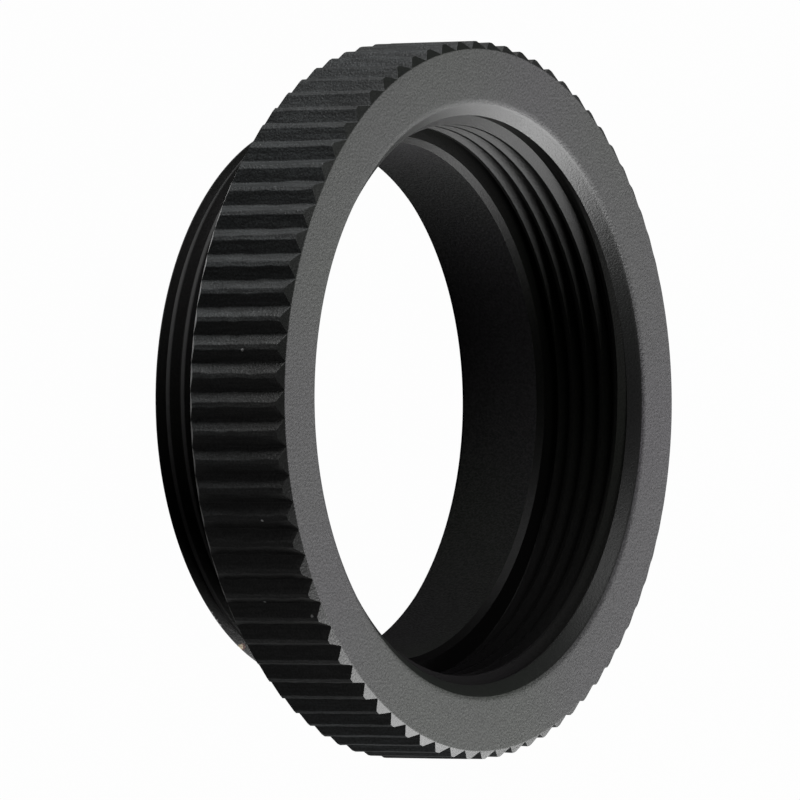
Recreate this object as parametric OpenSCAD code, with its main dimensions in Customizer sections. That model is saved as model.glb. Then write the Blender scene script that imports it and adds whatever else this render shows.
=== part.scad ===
// Spacer ring for camera lenses with a one inch thread, 32 turns to the inch.
// It moves a lens 5 mm away from the camera. It is one piece, turned from aluminium bar.
// The thread on the camera side stands on the ground, and the lens screws in from above.
// Both threads are drawn as plain cylinders at their outer diameter, with the play of the fit.

/* [Band] */
// Outside diameter over the knurl
band_d = 32; // [31.5:0.1:33]
// Thickness between the lens seat and the camera seat, which is the distance the ring adds
band_h = 5; // [4.9:0.05:7]
// Height of the bevel that cuts the ends of the teeth at the lens seat
front_bevel_h = 0.24; // [0.15:0.01:0.35]
// Height of the bevel that cuts the ends of the teeth at the camera seat
rear_bevel_h = 0.34; // [0.2:0.01:0.4]

/* [Knurl] */
// Teeth around the band
teeth = 80; // [76:1:84]
// Width left on the top of a tooth
tooth_land = 0.24; // [0.18:0.01:0.3]
// Depth of the grooves between the teeth
groove_deep = 0.35; // [0.28:0.01:0.38]
// Full angle between the two sides of a groove
groove_angle = 90; // [84:1:96]
// Plain rim between the floor of the grooves and the edge of each seat
groove_rim = 0.02; // [0.01:0.01:0.06]

/* [Lens thread] */
// Outer diameter of the thread standard, the same on both sides of the ring
thread_d = 25.4; // [25:0.1:25.8]
// Play between a thread and its mate, on the radius of each
thread_play = 0.05; // [0.03:0.01:0.08]
// Diameter of the mouth at the lens seat
mouth_d = 26.6; // [26.3:0.1:27.2]
// Height of the bevel in the mouth
mouth_bevel_h = 0.45; // [0.3:0.05:0.8]
// Width of the flat step at the foot of that bevel, where the thread starts
mouth_step = 0.07; // [0.03:0.01:0.15]
// Thickness left between the ledge that ends the thread and the camera seat
ledge_h = 0.5; // [0.45:0.05:1]
// Height of the relief groove under the lens thread
lens_relief_h = 0.45; // [0.3:0.05:0.5]
// Depth of the relief groove outside the thread
lens_relief_deep = 0.1; // [0.05:0.01:0.2]

/* [Light opening] */
// Diameter of the opening for the light
bore_d = 23.2; // [22.6:0.1:23.4]
// Bevel at the ledge under the lens thread
ledge_bevel = 0.26; // [0.1:0.02:0.4]
// Bevel at the camera end of the opening
bore_end_bevel = 0.28; // [0.1:0.02:0.3]

/* [Camera thread] */
// Length of the thread below the camera seat, with its relief groove
camera_thread_h = 4; // [3:0.1:4.5]
// Broken edge at the free end, which is a short plain rim before the thread starts
lead_bevel = 0.05; // [0.03:0.01:0.3]
// Height of the relief groove at the camera seat
camera_relief_h = 0.8; // [0.5:0.05:1.2]
// Depth of the relief groove, about the depth of the thread
camera_relief_deep = 0.5; // [0.3:0.02:0.55]

/* [Hidden] */

// Facets of a full turn in the preview
round_fn = 240;
// Flat strips that make up the rounded floor of a groove
floor_strips = 6;
// How far the groove cutters stand out of the ends of the band
end_over = 1;

// Heights, from the end of the camera thread upwards
camera_seat_z = camera_thread_h;
lens_seat_z = camera_seat_z + band_h;
ledge_z = camera_seat_z + ledge_h;
lens_thread_end_z = ledge_z + lens_relief_h;

// Radii
band_r = band_d / 2;
seat_edge_r = band_r - groove_deep - groove_rim;
mouth_r = mouth_d / 2;
bore_r = bore_d / 2;
lens_thread_r = thread_d / 2 + thread_play;
lens_relief_r = lens_thread_r + lens_relief_deep;
camera_thread_r = thread_d / 2 - thread_play;
camera_relief_r = camera_thread_r - camera_relief_deep;

// A groove: half its width at the top of the teeth, and the radius of its rounded floor.
// The floor touches both sides, so its radius follows from the depth and the angle.
groove_half_w = (PI * band_d / teeth - tooth_land) / 2;
side_angle = groove_angle / 2;
sharp_deep = groove_half_w / tan(side_angle);
floor_r = (sharp_deep - groove_deep) / (1 / sin(side_angle) - 1);
floor_x = band_r - groove_deep + floor_r;

// How far the groove cutters stand out of the band's side, where they stay clear of each other
side_over = tooth_land / 3;

// Outside of the section, from the camera end up to the lens seat
outer_points = [
    [camera_thread_r - lead_bevel, 0],
    [camera_thread_r, lead_bevel],
    [camera_thread_r, camera_seat_z - camera_relief_h - camera_relief_deep],
    [camera_relief_r, camera_seat_z - camera_relief_h],
    [camera_relief_r, camera_seat_z],
    [seat_edge_r, camera_seat_z],
    [band_r, camera_seat_z + rear_bevel_h],
    [band_r, lens_seat_z - front_bevel_h],
    [seat_edge_r, lens_seat_z]
];

// Inside of the section, from the mouth down to the camera end
inner_points = [
    [mouth_r, lens_seat_z],
    [lens_thread_r + mouth_step, lens_seat_z - mouth_bevel_h],
    [lens_thread_r, lens_seat_z - mouth_bevel_h],
    [lens_thread_r, lens_thread_end_z],
    [lens_relief_r, lens_thread_end_z - lens_relief_deep],
    [lens_relief_r, ledge_z],
    [bore_r + ledge_bevel, ledge_z],
    [bore_r, ledge_z - ledge_bevel],
    [bore_r, bore_end_bevel],
    [bore_r + bore_end_bevel, 0]
];

// The ring as it leaves the lathe, before its teeth are rolled
module turned_ring() {
    rotate_extrude($fn = round_fn)
        polygon(concat(outer_points, inner_points));
}

// Outline of one groove across the ring: straight sides on a rounded floor.
// The floor's arc runs from one side to the other, and its ends touch them smoothly.
module groove_outline() {
    sweep = 90 - side_angle;
    top_x = band_r + side_over;
    top_y = groove_half_w + side_over * tan(side_angle);
    floor_arc = [
        for (i = [0 : floor_strips])
            let (a = sweep * (2 * i / floor_strips - 1))
                [floor_x - floor_r * cos(a), floor_r * sin(a)]
    ];
    polygon(concat([[top_x, -top_y]], floor_arc, [[top_x, top_y]]));
}

// Grooves along the band, one between each pair of teeth; a tooth stands on the X axis
module knurl_grooves() {
    for (i = [0 : teeth - 1]) {
        rotate([0, 0, (i + 0.5) * 360 / teeth])
            translate([0, 0, camera_seat_z - end_over])
                linear_extrude(height = band_h + 2 * end_over)
                    groove_outline();
    }
}

// The finished ring, anodised black
module spacer_ring() {
    color([0.13, 0.13, 0.14])
        difference() {
            turned_ring();
            knurl_grooves();
        }
}

spacer_ring();
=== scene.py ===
import math
import bpy
from mathutils import Matrix, Vector


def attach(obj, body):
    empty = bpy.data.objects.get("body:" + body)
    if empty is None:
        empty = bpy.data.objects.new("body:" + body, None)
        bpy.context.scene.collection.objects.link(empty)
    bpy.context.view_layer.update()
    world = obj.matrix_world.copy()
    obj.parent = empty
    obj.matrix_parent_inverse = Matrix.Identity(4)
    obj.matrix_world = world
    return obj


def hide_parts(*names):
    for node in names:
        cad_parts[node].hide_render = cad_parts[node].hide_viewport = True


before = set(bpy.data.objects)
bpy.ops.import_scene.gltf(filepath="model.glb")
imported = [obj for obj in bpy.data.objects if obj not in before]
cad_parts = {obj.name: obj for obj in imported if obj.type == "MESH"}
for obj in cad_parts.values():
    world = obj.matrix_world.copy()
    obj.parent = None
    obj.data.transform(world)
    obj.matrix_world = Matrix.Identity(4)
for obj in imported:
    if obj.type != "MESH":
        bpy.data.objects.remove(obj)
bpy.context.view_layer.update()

# Spacer ring
# One piece turned from aluminium bar: a knurled band, a female thread for the lens, a male thread for
# the camera. The knurl is rolled, then its ends are cut by a bevel. The threads are cut on the lathe, one
# inch, 32 turns to the inch. The whole ring is then blasted to a fine grain and anodised black.

# Sizes in millimetres. Heights count from the end of the camera thread, which stands on the floor.
seat_z, back_z, ledge_z = 9.0, 4.0, 4.5
band_r, seat_edge_r, back_inner_r = 16.0, 15.63, 12.25
front_bevel = 0.24 / (band_r - seat_edge_r)
back_bevel = 0.34 / (band_r - seat_edge_r)
rim_in_r, rim_out_r, rim_front_z, rim_back_z = 15.61, 15.645, 8.990, 4.011
teeth, tooth_land, groove_deep, groove_side = 80, 0.24, 0.35, math.radians(54)
side_top_z, side_step, side_rows = 8.3, 0.5, 8
thread_pitch, thread_deep = 25.4 / 32, 0.45
flank = thread_deep * math.tan(math.radians(30))
run_out = 0.3
lens_crest_r, lens_root_r, lens_crest_w, lens_crest_z = 12.30, 12.75, 0.16, 7.705
lens_low_z, lens_high_z, last_crest_z, last_crest_fade = 4.95, 8.44, 8.24, 0.14
cam_crest_r, cam_root_r, cam_crest_w, cam_crest_z = 12.65, 12.20, 0.14, 0.672
cam_low_z, cam_high_z = 0.29, 3.2
lens_relief_r, cam_relief_r, relief_corner, relief_bevel = 12.85, 12.15, 0.06, 0.1
bore_r, ledge_bevel, bore_end_bevel = 11.6, 0.26, 0.28
mouth_foot_r, mouth_bevel_r, mouth_bevel_z = 12.70, 13.13, 8.839
mouth_edge_r, mouth_round = 13.5, 0.5

# The section's corners in order round the ring's wall: radius, height and the rule that places that row
PLAIN, TOOTH_FRONT, TOOTH_SIDE, TOOTH_BACK, LENS_THREAD, CAM_THREAD = range(6)


def thread_rows(rule, crest_z, crest_w, turns, low_z, high_z):
    steps = [crest_w / 2 + flank * share for share in (0, 0.5, 1)]
    steps += [-step for step in steps]
    heights = sorted(crest_z + thread_pitch * turn + step for turn in turns for step in steps)
    low, high = low_z - thread_pitch - run_out, high_z + run_out
    return [(0, z, rule) for z in heights if low < z < high]


section = [(mouth_edge_r, seat_z, PLAIN), (rim_in_r, seat_z, PLAIN), (rim_out_r, rim_front_z, PLAIN)]
section += [(0, seat_z, TOOTH_FRONT)]
section += [(0, side_top_z - side_step * row, TOOTH_SIDE) for row in range(side_rows)]
section += [(0, back_z, TOOTH_BACK), (rim_out_r, rim_back_z, PLAIN), (rim_in_r, back_z, PLAIN)]
section += [(back_inner_r, back_z, PLAIN), (cam_relief_r, back_z - relief_bevel, PLAIN)]
section += thread_rows(CAM_THREAD, cam_crest_z, cam_crest_w, range(-3, 6), cam_low_z, cam_high_z)[::-1]
section += [(cam_root_r, cam_low_z, PLAIN), (cam_crest_r - 0.02, 0.04, PLAIN), (cam_crest_r - 0.06, 0, PLAIN)]
section += [(bore_r + bore_end_bevel, 0, PLAIN), (bore_r, bore_end_bevel, PLAIN)]
section += [(bore_r, ledge_z - ledge_bevel, PLAIN), (bore_r + ledge_bevel, ledge_z, PLAIN)]
section += [(lens_relief_r - relief_corner, ledge_z, PLAIN), (lens_relief_r, ledge_z + relief_corner, PLAIN)]
section += [(lens_relief_r, lens_low_z - relief_bevel, PLAIN)]
section += thread_rows(LENS_THREAD, lens_crest_z, lens_crest_w, range(-6, 4), lens_low_z, lens_high_z)
section += [(mouth_foot_r, lens_high_z, PLAIN), (mouth_bevel_r, mouth_bevel_z, PLAIN)]
for turn in (43, 34, 26, 17, 9, 0):
    aside, drop = math.sin(math.radians(turn)), 1 - math.cos(math.radians(turn))
    section += [(mouth_edge_r - mouth_round * aside, seat_z - mouth_round * drop, PLAIN)]

section_mesh = bpy.data.meshes.new("ring_section")
section_mesh.from_pydata([(r / 1000, 0, z / 1000) for r, z, rule in section], [], [])
rule_of_row = section_mesh.attributes.new("rule", "INT", "POINT")
rule_of_row.data.foreach_set("value", [rule for r, z, rule in section])
ring_start = bpy.data.objects.new("ring_section", section_mesh)
bpy.context.scene.collection.objects.link(ring_start)

# One tooth with half a groove on each side: the angle from the tooth's middle, and the radius there.
# The groove has straight sides, 54 degrees off the radius, on a small rounded floor that touches both.
# The tooth's top has broken edges.
groove_half_w = (math.pi * 2 * band_r / teeth - tooth_land) / 2
floor_r = (groove_half_w / math.tan(groove_side) - groove_deep) / (1 / math.sin(groove_side) - 1)
floor_x = band_r - groove_deep + floor_r
half_pitch = math.pi / teeth
half_groove = []
for turn in (0, 18, 36):
    x = floor_x - floor_r * math.cos(math.radians(turn))
    y = floor_r * math.sin(math.radians(turn))
    half_groove.append((math.atan2(y, x), math.hypot(x, y)))
for aside, r in ((-0.040, 15.969), (-0.010, 15.989), (0.025, band_r)):
    half_groove.append(((groove_half_w + aside) / r, r))
outline = [(a - half_pitch, r) for a, r in half_groove] + [(half_pitch - a, r) for a, r in half_groove[:0:-1]]
tooth_mesh = bpy.data.meshes.new("tooth_outline")
tooth_mesh.from_pydata([(a, r / 1000, 0) for a, r in outline], [], [])
tooth_shape = bpy.data.objects.new("tooth_outline", tooth_mesh)
bpy.context.scene.collection.objects.link(tooth_shape)

# The tree lays a sheet of points, a row for each corner of the section and a column for each point of the
# teeth, bends it round the axis and closes it.
tree = bpy.data.node_groups.new("turned_ring", "GeometryNodeTree")
tree.interface.new_socket("Section", in_out="INPUT", socket_type="NodeSocketGeometry")
tree.interface.new_socket("Ring", in_out="OUTPUT", socket_type="NodeSocketGeometry")
ask = {}
for name, kind in (("Tooth", "Object"), ("Teeth", "Int"), ("Uneven teeth", "Float"), ("Wavy sides", "Float"),
                   ("Seed", "Int"), ("Pitch", "Float"), ("Face", "Material"), ("Knurl", "Material"),
                   ("Cut", "Material"), ("Bevels", "Material"), ("Bare edge", "Material")):
    ask[name] = tree.interface.new_socket(name, in_out="INPUT", socket_type="NodeSocket" + kind)


def put(tree, kind, inputs=(), **settings):
    node = tree.nodes.new(kind)
    for key, value in settings.items():
        setattr(node, key, value)
    for key, value in dict(inputs).items():
        if isinstance(value, bpy.types.NodeSocket):
            tree.links.new(value, node.inputs[key])
        else:
            node.inputs[key].default_value = value
    return node


def calc(operation, *values):
    return put(tree, "ShaderNodeMath", dict(enumerate(values)), operation=operation).outputs[0]


def between(value, low, high):
    return calc("MINIMUM", calc("MAXIMUM", value, low), high)


def look_up(points, value, index, data_type):
    return put(tree, "GeometryNodeSampleIndex", {0: points, "Value": value, "Index": index},
               data_type=data_type).outputs[0]


given = put(tree, "NodeGroupInput").outputs
row_count = put(tree, "GeometryNodeAttributeDomainSize", {0: given["Section"]}).outputs["Point Count"]
tooth_points = put(tree, "GeometryNodeObjectInfo", {0: given["Tooth"]}).outputs["Geometry"]
per_tooth = put(tree, "GeometryNodeAttributeDomainSize", {0: tooth_points}).outputs["Point Count"]
columns = calc("ADD", calc("MULTIPLY", given["Teeth"], per_tooth), 1.0)
sheet = put(tree, "GeometryNodeMeshGrid",
            {"Size X": 1.0, "Size Y": 1.0, "Vertices X": row_count, "Vertices Y": columns}).outputs["Mesh"]
index = put(tree, "GeometryNodeInputIndex").outputs[0]
row = calc("FLOOR", calc("DIVIDE", calc("ADD", index, 0.5), columns))
column = calc("SUBTRACT", index, calc("MULTIPLY", row, columns))
tooth = calc("FLOOR", calc("DIVIDE", calc("ADD", column, 0.5), per_tooth))
point = calc("SUBTRACT", column, calc("MULTIPLY", tooth, per_tooth))

# Where the row stands in the section, and the tooth's angle and radius at the column
position = put(tree, "GeometryNodeInputPosition").outputs[0]
row_place = look_up(given["Section"], position, row, "FLOAT_VECTOR")
row_xyz = put(tree, "ShaderNodeSeparateXYZ", {0: row_place}).outputs
row_r, row_z = row_xyz[0], row_xyz[2]
named_rule = put(tree, "GeometryNodeInputNamedAttribute", {"Name": "rule"}, data_type="INT").outputs[0]
rule = look_up(given["Section"], named_rule, row, "INT")
tooth_place = look_up(tooth_points, position, point, "FLOAT_VECTOR")
tooth_angle, full_r = put(tree, "ShaderNodeSeparateXYZ", {0: tooth_place}).outputs[:2]
tooth_number = calc("MODULO", tooth, given["Teeth"])
lower = put(tree, "FunctionNodeRandomValue", {"Min": 0.0, "Max": given["Uneven teeth"], "ID": tooth_number,
                                              "Seed": given["Seed"]}, data_type="FLOAT")
lower = [socket for socket in lower.outputs if socket.enabled][0]
angle_step = calc("DIVIDE", 2 * math.pi, given["Teeth"])
angle = calc("ADD", calc("MULTIPLY", tooth, angle_step), tooth_angle)
top_share = calc("DIVIDE", calc("SUBTRACT", full_r, (band_r - groove_deep) / 1000), groove_deep / 1000)
tooth_r = calc("SUBTRACT", full_r, calc("MULTIPLY", top_share, lower))

# Rows of the knurl: the bevels meet each point of the tooth at their own height
past_edge = calc("SUBTRACT", tooth_r, seat_edge_r / 1000)
front_z = calc("SUBTRACT", seat_z / 1000, calc("MULTIPLY", past_edge, front_bevel))
tooth_back_z = calc("ADD", back_z / 1000, calc("MULTIPLY", past_edge, back_bevel))

# Rows of the threads: they climb by the pitch in a turn, and are cut off at the ends and by the bevels.
# The lens thread's last crest is broken off where it would run out into the mouth.
climb = calc("MULTIPLY", given["Pitch"], calc("DIVIDE", angle, 2 * math.pi))
climbed = calc("ADD", row_z, climb)
half_turn = calc("MULTIPLY", given["Pitch"], 0.5)


def thread(low, high, crest_z, crest_w, crest_r, root_r, bevels=(), last_crest=None):
    z = between(climbed, low / 1000, high / 1000)
    along = calc("SUBTRACT", calc("SUBTRACT", z, climb), crest_z / 1000)
    from_crest = calc("PINGPONG", along, half_turn)
    depth = calc("MULTIPLY", calc("SUBTRACT", from_crest, crest_w / 2000), 1 / math.tan(math.radians(30)))
    full = abs(root_r - crest_r) / 1000
    depth = between(depth, 0.0, full)
    if last_crest:
        off = calc("WRAP", along, half_turn, calc("MULTIPLY", half_turn, -1.0))
        left = calc("SUBTRACT", last_crest / 1000, calc("SUBTRACT", z, off))
        left = between(calc("DIVIDE", left, last_crest_fade / 1000), 0.0, 1.0)
        depth = calc("SUBTRACT", full, calc("MULTIPLY", calc("SUBTRACT", full, depth), left))
    r = calc("ADD" if root_r > crest_r else "SUBTRACT", crest_r / 1000, depth)
    for at_r, at_z, slope in bevels:
        bevel_r = calc("ADD", at_r / 1000, calc("MULTIPLY", calc("SUBTRACT", z, at_z / 1000), slope))
        r = calc("MINIMUM", r, bevel_r)
    return r, z


lens_r, lens_z = thread(lens_low_z, lens_high_z, lens_crest_z, lens_crest_w, lens_crest_r, lens_root_r,
                        last_crest=last_crest_z)
cam_r, cam_z = thread(cam_low_z, cam_high_z, cam_crest_z, cam_crest_w, cam_crest_r, cam_root_r,
                      bevels=[(cam_root_r, cam_low_z, 1.73), (cam_relief_r, cam_high_z, -1.0)])


def by_rule(*values):
    switch = put(tree, "GeometryNodeIndexSwitch", {0: rule}, data_type="FLOAT")
    while len(switch.index_switch_items) < len(values):
        switch.index_switch_items.new()
    for number, value in enumerate(values):
        if isinstance(value, float):
            switch.inputs[number + 1].default_value = value
        else:
            tree.links.new(value, switch.inputs[number + 1])
    return switch.outputs[0]


def bent(radius, angle, height):
    x, y = calc("MULTIPLY", radius, calc("COSINE", angle)), calc("MULTIPLY", radius, calc("SINE", angle))
    return put(tree, "ShaderNodeCombineXYZ", {0: x, 1: y, 2: height}).outputs[0]


r = by_rule(row_r, tooth_r, tooth_r, tooth_r, lens_r, cam_r)
z = by_rule(row_z, front_z, row_z, tooth_back_z, lens_z, cam_z)

# Rolling leaves the sides of the teeth a little wavy
wave_length, closing_distance, crisp_from = 0.0006, 0.0000006, math.radians(12)
waves = put(tree, "ShaderNodeTexNoise",
            {"Vector": bent(r, angle, z), "Scale": 1 / wave_length, "Detail": 1.0}).outputs[0]
sway = calc("DIVIDE", given["Wavy sides"], band_r / 1000)
sway = calc("MULTIPLY", calc("SUBTRACT", waves, 0.5), sway)
angle = calc("ADD", angle, calc("MULTIPLY", sway, by_rule(0.0, 1.0, 1.0, 1.0, 0.0, 0.0)))
shape = put(tree, "GeometryNodeSetPosition", {"Geometry": sheet, "Position": bent(r, angle, z)}).outputs[0]
shape = put(tree, "GeometryNodeMergeByDistance", {"Geometry": shape, "Distance": closing_distance}).outputs[0]

# Sharper edges stay crisp, and the rest is smooth
turn_of_edge = put(tree, "GeometryNodeInputMeshEdgeAngle").outputs["Unsigned Angle"]
soft = put(tree, "FunctionNodeCompare", {0: turn_of_edge, 1: crisp_from}, data_type="FLOAT",
           operation="LESS_THAN").outputs[0]
for domain, smooth in (("FACE", True), ("EDGE", soft)):
    shape = put(tree, "GeometryNodeSetShadeSmooth", {"Geometry": shape, "Shade Smooth": smooth},
                domain=domain).outputs[0]

# The finish follows the place: the outside of the band, the bevels at the mouth and on the teeth's ends, the
# seat with the light opening, the bevel behind the teeth, painted near white as a painted reflection, and all
# the rest that is cut inside and below
x, y, height = put(tree, "ShaderNodeSeparateXYZ", {0: position}).outputs
radius = calc("SQRT", calc("ADD", calc("POWER", x, 2.0), calc("POWER", y, 2.0)))
looks = put(tree, "ShaderNodeSeparateXYZ", {0: put(tree, "GeometryNodeInputNormal").outputs[0]})
looks_up = looks.outputs[2]


def all_of(*tests):
    chosen = None
    for what, value, limit in tests:
        test = calc(what, value, limit)
        chosen = calc("MULTIPLY", chosen, test) if chosen else test
    return chosen


# Where one finish gives way to the next, in millimetres, and how steeply a bevel looks up or down
seat_from_z, seat_from_r, seat_to_r, bevels_from_z = 8.91, 13.14, 15.64, 8.45
bore_to_z, bore_to_r, back_from_z, back_from_r, steep = 4.3, 11.65, 4.0005, 15.6, 0.5
on_band = all_of(("GREATER_THAN", radius, seat_edge_r / 1000))
on_bevels = all_of(("GREATER_THAN", looks_up, steep), ("GREATER_THAN", height, bevels_from_z / 1000))
on_seat = all_of(("GREATER_THAN", height, seat_from_z / 1000), ("GREATER_THAN", radius, seat_from_r / 1000),
                 ("LESS_THAN", radius, seat_to_r / 1000))
in_bore = all_of(("LESS_THAN", radius, bore_to_r / 1000), ("LESS_THAN", height, bore_to_z / 1000))
# The bevel behind the teeth, which gets the near-white painted reflection
on_back_bevel = all_of(("GREATER_THAN", radius, back_from_r / 1000), ("LESS_THAN", looks_up, -steep),
                       ("GREATER_THAN", height, back_from_z / 1000))
shape = put(tree, "GeometryNodeSetMaterial", {"Geometry": shape, "Material": given["Cut"]}).outputs[0]
for chosen, finish in ((on_band, "Knurl"), (on_bevels, "Bevels"), (calc("MAXIMUM", on_seat, in_bore), "Face"),
                       (on_back_bevel, "Bare edge")):
    shape = put(tree, "GeometryNodeSetMaterial",
                {"Geometry": shape, "Selection": chosen, "Material": given[finish]}).outputs[0]
whole = put(tree, "GeometryNodeRealizeInstances", {0: shape}).outputs[0]
put(tree, "NodeGroupOutput", {0: whole})


def effect(name, sockets):
    group = bpy.data.node_groups.new(name, "ShaderNodeTree")
    for socket, way, kind in sockets:
        group.interface.new_socket(socket, in_out=way, socket_type="NodeSocket" + kind)
    return group, put(group, "NodeGroupInput").outputs


def steeper(tree, value, low, high):
    return put(tree, "ShaderNodeMapRange", {"Value": value, "From Min": low, "From Max": high}).outputs[0]


# The blasted surface: a fine grain that roughens it, a speckle in its colour, and a slow drift of the dye
drift_length = 0.014
grain, asked = effect("blasted_grain", (("Place", "INPUT", "Vector"), ("Grain mm", "INPUT", "Float"),
                                        ("Depth mm", "INPUT", "Float"), ("Drift", "OUTPUT", "Float"),
                                        ("Speckle", "OUTPUT", "Float"), ("Normal", "OUTPUT", "Vector")))
fineness = put(grain, "ShaderNodeMath", {0: 1000.0, 1: asked["Grain mm"]}, operation="DIVIDE").outputs[0]
depth = put(grain, "ShaderNodeMath", {0: asked["Depth mm"], 1: 1000.0}, operation="DIVIDE").outputs[0]
pits = put(grain, "ShaderNodeTexNoise",
           {"Vector": asked["Place"], "Scale": fineness, "Detail": 3.0}).outputs[0]
bump = put(grain, "ShaderNodeBump", {"Distance": depth, "Height": pits}).outputs[0]
dye = put(grain, "ShaderNodeTexNoise",
          {"Vector": asked["Place"], "Scale": 1 / drift_length, "Detail": 1.0}).outputs[0]
put(grain, "NodeGroupOutput", {"Drift": steeper(grain, dye, 0.3, 0.7),
                               "Speckle": steeper(grain, pits, 0.35, 0.65), "Normal": bump})

# A chip, a scuff or a speck: a ragged patch round a point
ragged_length = 0.00009
patch, asked = effect("ragged_patch", (("Place", "INPUT", "Vector"), ("Middle", "INPUT", "Vector"),
                                       ("Size mm", "INPUT", "Float"), ("Mask", "OUTPUT", "Float")))
away = put(patch, "ShaderNodeVectorMath", {0: asked["Place"], 1: asked["Middle"]},
           operation="DISTANCE").outputs["Value"]
ragged = put(patch, "ShaderNodeTexNoise",
             {"Vector": asked["Place"], "Scale": 1 / ragged_length, "Detail": 2.0}).outputs[0]
share = put(patch, "ShaderNodeMath", {0: away, 1: asked["Size mm"]}, operation="DIVIDE").outputs[0]
total = put(patch, "ShaderNodeMath", {0: share, 1: 1000.0, 2: ragged}, operation="MULTIPLY_ADD").outputs[0]
put(patch, "NodeGroupOutput", {"Mask": steeper(patch, total, 1.55, 1.25)})

# Anodised aluminium in one of its finishes. Streaks run along the teeth, and the crests of the camera thread
# are painted paler, a painted highlight.
line_width, line_stretch = 0.00014, 0.06


def finish_of(name, colours, speckle, roughness, shine, grain_mm, depth_mm, patches=(), painted_crest_highlight=None,
              streak=0.0):
    stuff = bpy.data.materials.new(name)
    stuff.use_nodes = True
    own = stuff.node_tree
    surface = own.nodes["Principled BSDF"]
    for socket, value in (("Metallic", 0.0), ("IOR", 1.5), ("Roughness", roughness),
                          ("Specular IOR Level", shine)):
        surface.inputs[socket].default_value = value
    place = put(own, "ShaderNodeTexCoord").outputs["Object"]
    blasted = put(own, "ShaderNodeGroup", {"Place": place, "Grain mm": grain_mm, "Depth mm": depth_mm},
                  node_tree=grain).outputs
    own.links.new(blasted["Normal"], surface.inputs["Normal"])

    def blend(factor, low, high, how="MIX"):
        low, high = [(*colour, 1) if isinstance(colour, tuple) else colour for colour in (low, high)]
        mix = put(own, "ShaderNodeMix", {0: factor, 6: low, 7: high}, data_type="RGBA", blend_type=how)
        return mix.outputs[2]

    shade = blend(blasted["Drift"], *colours)
    shade = blend(blasted["Speckle"], shade, (1 - speckle,) * 3, "MULTIPLY")
    if streak:
        drawn = put(own, "ShaderNodeVectorMath", {0: place, 1: (1, 1, line_stretch)},
                    operation="MULTIPLY").outputs[0]
        lines = put(own, "ShaderNodeTexNoise",
                    {"Vector": drawn, "Scale": 1 / line_width, "Detail": 2.0}).outputs[0]
        shade = blend(steeper(own, lines, 0.4, 0.6), shade, (1 - streak,) * 3, "MULTIPLY")
    # Painted highlight: the crests of the camera thread get a paler colour
    if painted_crest_highlight:
        x, y, height = put(own, "ShaderNodeSeparateXYZ", {0: place}).outputs
        flat = put(own, "ShaderNodeCombineXYZ", {0: x, 1: y}).outputs[0]
        reach = put(own, "ShaderNodeVectorMath", {0: flat}, operation="LENGTH").outputs["Value"]
        crest = steeper(own, reach, (cam_crest_r - 0.07) / 1000, (cam_crest_r - 0.03) / 1000)
        below = put(own, "ShaderNodeMath", {0: height, 1: cam_high_z / 1000},
                    operation="LESS_THAN").outputs[0]
        both = put(own, "ShaderNodeMath", {0: crest, 1: below}, operation="MULTIPLY").outputs[0]
        shade = blend(both, shade, painted_crest_highlight)
    for middle, size, tint in patches:
        spot = put(own, "ShaderNodeGroup", {"Place": place, "Middle": [v / 1000 for v in middle],
                                            "Size mm": size}, node_tree=patch).outputs["Mask"]
        shade = blend(spot, shade, tint)
    own.links.new(shade, surface.inputs["Base Color"])
    return stuff


# Each speck or chip has its place on the ring and its size, in millimetres, and its colour
white_specks = [((15.82, -2.37, 6.91), 0.07, (0.6, 0.6, 0.6)), ((15.18, 5.06, 7.41), 0.07, (0.6, 0.6, 0.6)),
                ((13.01, 9.25, 8.49), 0.08, (0.6, 0.6, 0.6)), ((13.11, 8.60, 6.09), 0.09, (0.7, 0.7, 0.7))]
chips = [((6.30, 10.93, 0.14), 0.24, (0.16, 0.05, 0.03)), ((6.37, 10.90, 0.06), 0.19, (0.75, 0.62, 0.42)),
         ((8.56, 9.30, 0.04), 0.08, (0.5, 0.5, 0.5)), ((8.36, 9.49, 0.04), 0.07, (0.5, 0.5, 0.5)),
         ((8.14, 9.67, 0.04), 0.09, (0.6, 0.6, 0.6)), ((7.90, 9.87, 0.04), 0.09, (0.6, 0.6, 0.6)),
         ((12.64, -0.46, 1.76), 0.06, (0.4, 0.4, 0.4))]
face_finish = finish_of("anodised_seat", ((0.062, 0.058, 0.065), (0.058, 0.063, 0.056)), speckle=0.55,
                        roughness=0.50, shine=0.50, grain_mm=0.11, depth_mm=0.035)
knurl_finish = finish_of("anodised_knurl", ((0.050, 0.048, 0.045), (0.042, 0.047, 0.049)), speckle=0.65,
                         roughness=0.46, shine=0.50, grain_mm=0.10, depth_mm=0.030, patches=white_specks,
                         streak=0.45)
# The cut finish paints the camera thread's crests paler, a painted highlight
cut_finish = finish_of("anodised_cut", ((0.010, 0.011, 0.009), (0.011, 0.010, 0.011)), speckle=0.40,
                       roughness=0.40, shine=0.20, grain_mm=0.09, depth_mm=0.012, patches=chips,
                       painted_crest_highlight=(0.06, 0.06, 0.06))
bevel_finish = finish_of("anodised_bevels", ((0.014, 0.014, 0.014), (0.013, 0.015, 0.013)), speckle=0.40,
                         roughness=0.37, shine=0.50, grain_mm=0.09, depth_mm=0.012)
# The bevel behind the teeth is painted near white: a painted reflection of the white floor at a grazing angle
reflection_edge_finish = finish_of("painted_reflection_edge", ((0.90, 0.89, 0.87), (0.80, 0.80, 0.80)), speckle=0.20,
                        roughness=0.40, shine=0.50, grain_mm=0.12, depth_mm=0.004)

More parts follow.
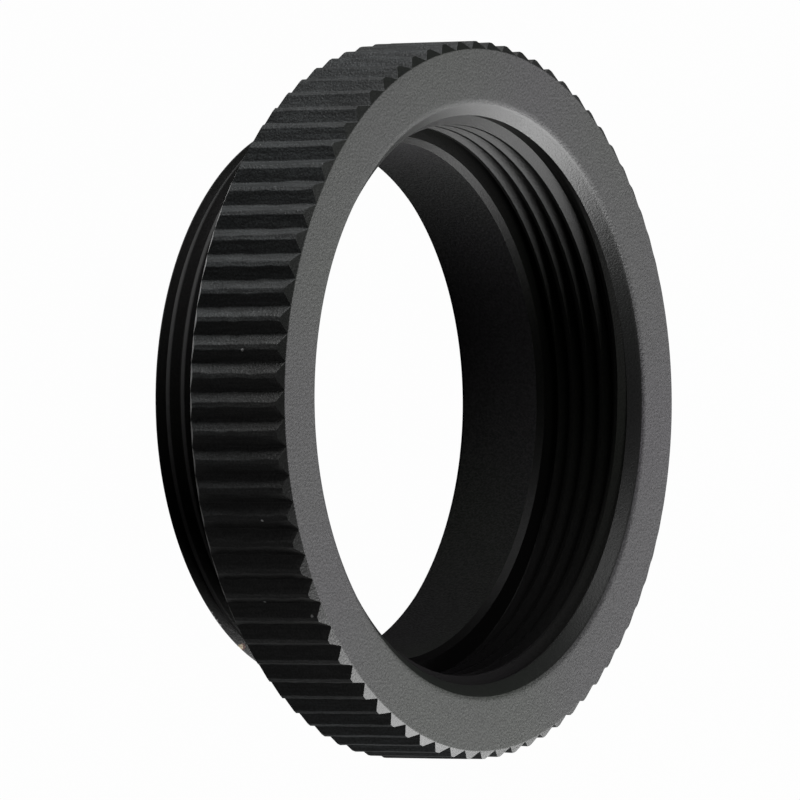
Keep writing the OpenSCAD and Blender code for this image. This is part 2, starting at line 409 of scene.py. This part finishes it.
maker = ring_start.modifiers.new("turned_ring", "NODES")
maker.node_group = tree
for name, value in (("Tooth", tooth_shape), ("Teeth", teeth), ("Uneven teeth", 0.000012),
                    ("Wavy sides", 0.0002), ("Seed", 7), ("Pitch", thread_pitch / 1000),
                    ("Face", face_finish), ("Knurl", knurl_finish), ("Cut", cut_finish),
                    ("Bevels", bevel_finish), ("Bare edge", reflection_edge_finish)):
    maker[ask[name].identifier] = value
bpy.context.view_layer.update()
ring_mesh = bpy.data.meshes.new_from_object(ring_start.evaluated_get(bpy.context.evaluated_depsgraph_get()))
bpy.data.objects.remove(ring_start)
bpy.data.objects.remove(tooth_shape)
ring_mesh.name = "spacer_ring_look"
ring = bpy.data.objects.new("spacer_ring_look", ring_mesh)
bpy.context.scene.collection.objects.link(ring)
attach(ring, "root")
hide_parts("spacer_ring")

# Floor
# A plain white table that runs past the picture on all sides. The ring stands on the end of its camera
# thread. The camera sees it white, and it keeps the ring's shadow.
table_half, table_grey, seen_white = 2, 0.12, 0.985
floor_mesh = bpy.data.meshes.new("floor")
floor_mesh.from_pydata([(-table_half, -table_half, 0), (table_half, -table_half, 0),
                        (table_half, table_half, 0), (-table_half, table_half, 0)], [], [(0, 1, 2, 3)])
floor = bpy.data.objects.new("floor", floor_mesh)
bpy.context.scene.collection.objects.link(floor)
table = bpy.data.materials.new("white_table")
table.use_nodes = True
own = table.node_tree
own.nodes.clear()
paint = put(own, "ShaderNodeBsdfDiffuse", {"Color": (table_grey, table_grey, table_grey, 1)}).outputs[0]
glow = put(own, "ShaderNodeEmission", {"Color": (1, 1, 1, 1), "Strength": 1.0}).outputs[0]
by_camera = put(own, "ShaderNodeLightPath").outputs["Is Camera Ray"]
share = put(own, "ShaderNodeMath", {0: by_camera, 1: seen_white}, operation="MULTIPLY").outputs[0]
mix = put(own, "ShaderNodeMixShader", {0: share, 1: paint, 2: glow}).outputs[0]
put(own, "ShaderNodeOutputMaterial", {0: mix})
floor_mesh.materials.append(table)

# Camera
# A long lens from far off, turned on its side: it looks down on the ring at 34 degrees, so that the ring's
# axis points to the right of the picture. The pose was fitted to the rims and the threads.
axis_turn, axis_dip, tooth_turn = math.radians(56.12), math.radians(-0.46), math.radians(0.69)
face_centre = Vector((0.003727, 0.0, 0.4676))
picture_width, sensor_width, focal_pixels = 800, 36.0, 10500
up_axis = Vector((math.sin(axis_turn) * math.cos(axis_dip), math.sin(axis_turn) * math.sin(axis_dip),
                  -math.cos(axis_turn)))
down = (Vector((0, 1, 0)) - up_axis * up_axis.y).normalized()
left = down.cross(up_axis)
x_seen = left * math.cos(tooth_turn) + down * math.sin(tooth_turn)
y_seen = down * math.cos(tooth_turn) - left * math.sin(tooth_turn)
seen = Matrix((x_seen, y_seen, up_axis))
camera_data = bpy.data.cameras.new("camera")
camera_data.sensor_width = sensor_width
camera_data.lens = sensor_width * focal_pixels / picture_width
camera_data.clip_start, camera_data.clip_end = 0.05, 10.0
camera = bpy.data.objects.new("camera", camera_data)
bpy.context.scene.collection.objects.link(camera)
stand = Vector((0, 0, seat_z / 1000)) - seen @ face_centre
view_turn = seen @ Matrix(((1, 0, 0), (0, -1, 0), (0, 0, -1)))
camera.matrix_world = Matrix.Translation(stand) @ view_turn.to_4x4()
bpy.context.scene.camera = camera

# Light
# A studio with a pale room round it and soft boxes. Each box is given by where it shines from in the
# picture: to the right, down, and away from the camera. Then come its distance, width, height and power.
boxes = (("box_main", (0.75, 0.65, 0.06), 0.30, 0.22, 0.22, 1.3),
         ("box_side", (0.924, 0.0, 0.382), 0.34, 0.18, 0.18, 0.25),
         ("box_back", (0.49, 0.56, 0.66), 0.30, 0.16, 0.10, 0.18),
         ("box_upper", (-0.07, -0.98, -0.17), 0.30, 0.20, 0.03, 1.0),
         ("box_front", (0.35, -0.75, -0.56), 0.30, 0.18, 0.18, 0.22))
room = bpy.data.worlds.new("room")
room.use_nodes = True
room.node_tree.nodes["Background"].inputs["Color"].default_value = (1, 1, 1, 1)
room.node_tree.nodes["Background"].inputs["Strength"].default_value = 0.02
bpy.context.scene.world = room
for name, toward, distance, width, height, power in boxes:
    lamp_data = bpy.data.lights.new(name, "AREA")
    lamp_data.shape = "RECTANGLE"
    lamp_data.size, lamp_data.size_y = width, height
    lamp_data.energy = power
    lamp = bpy.data.objects.new(name, lamp_data)
    bpy.context.scene.collection.objects.link(lamp)
    way = (seen @ Vector(toward)).normalized()
    lamp.location = Vector((0, 0, 0.005)) + way * distance
    lamp.rotation_mode = "QUATERNION"
    lamp.rotation_quaternion = way.to_track_quat("Z", "Y")

bpy.context.scene.view_settings.view_transform = "Standard"
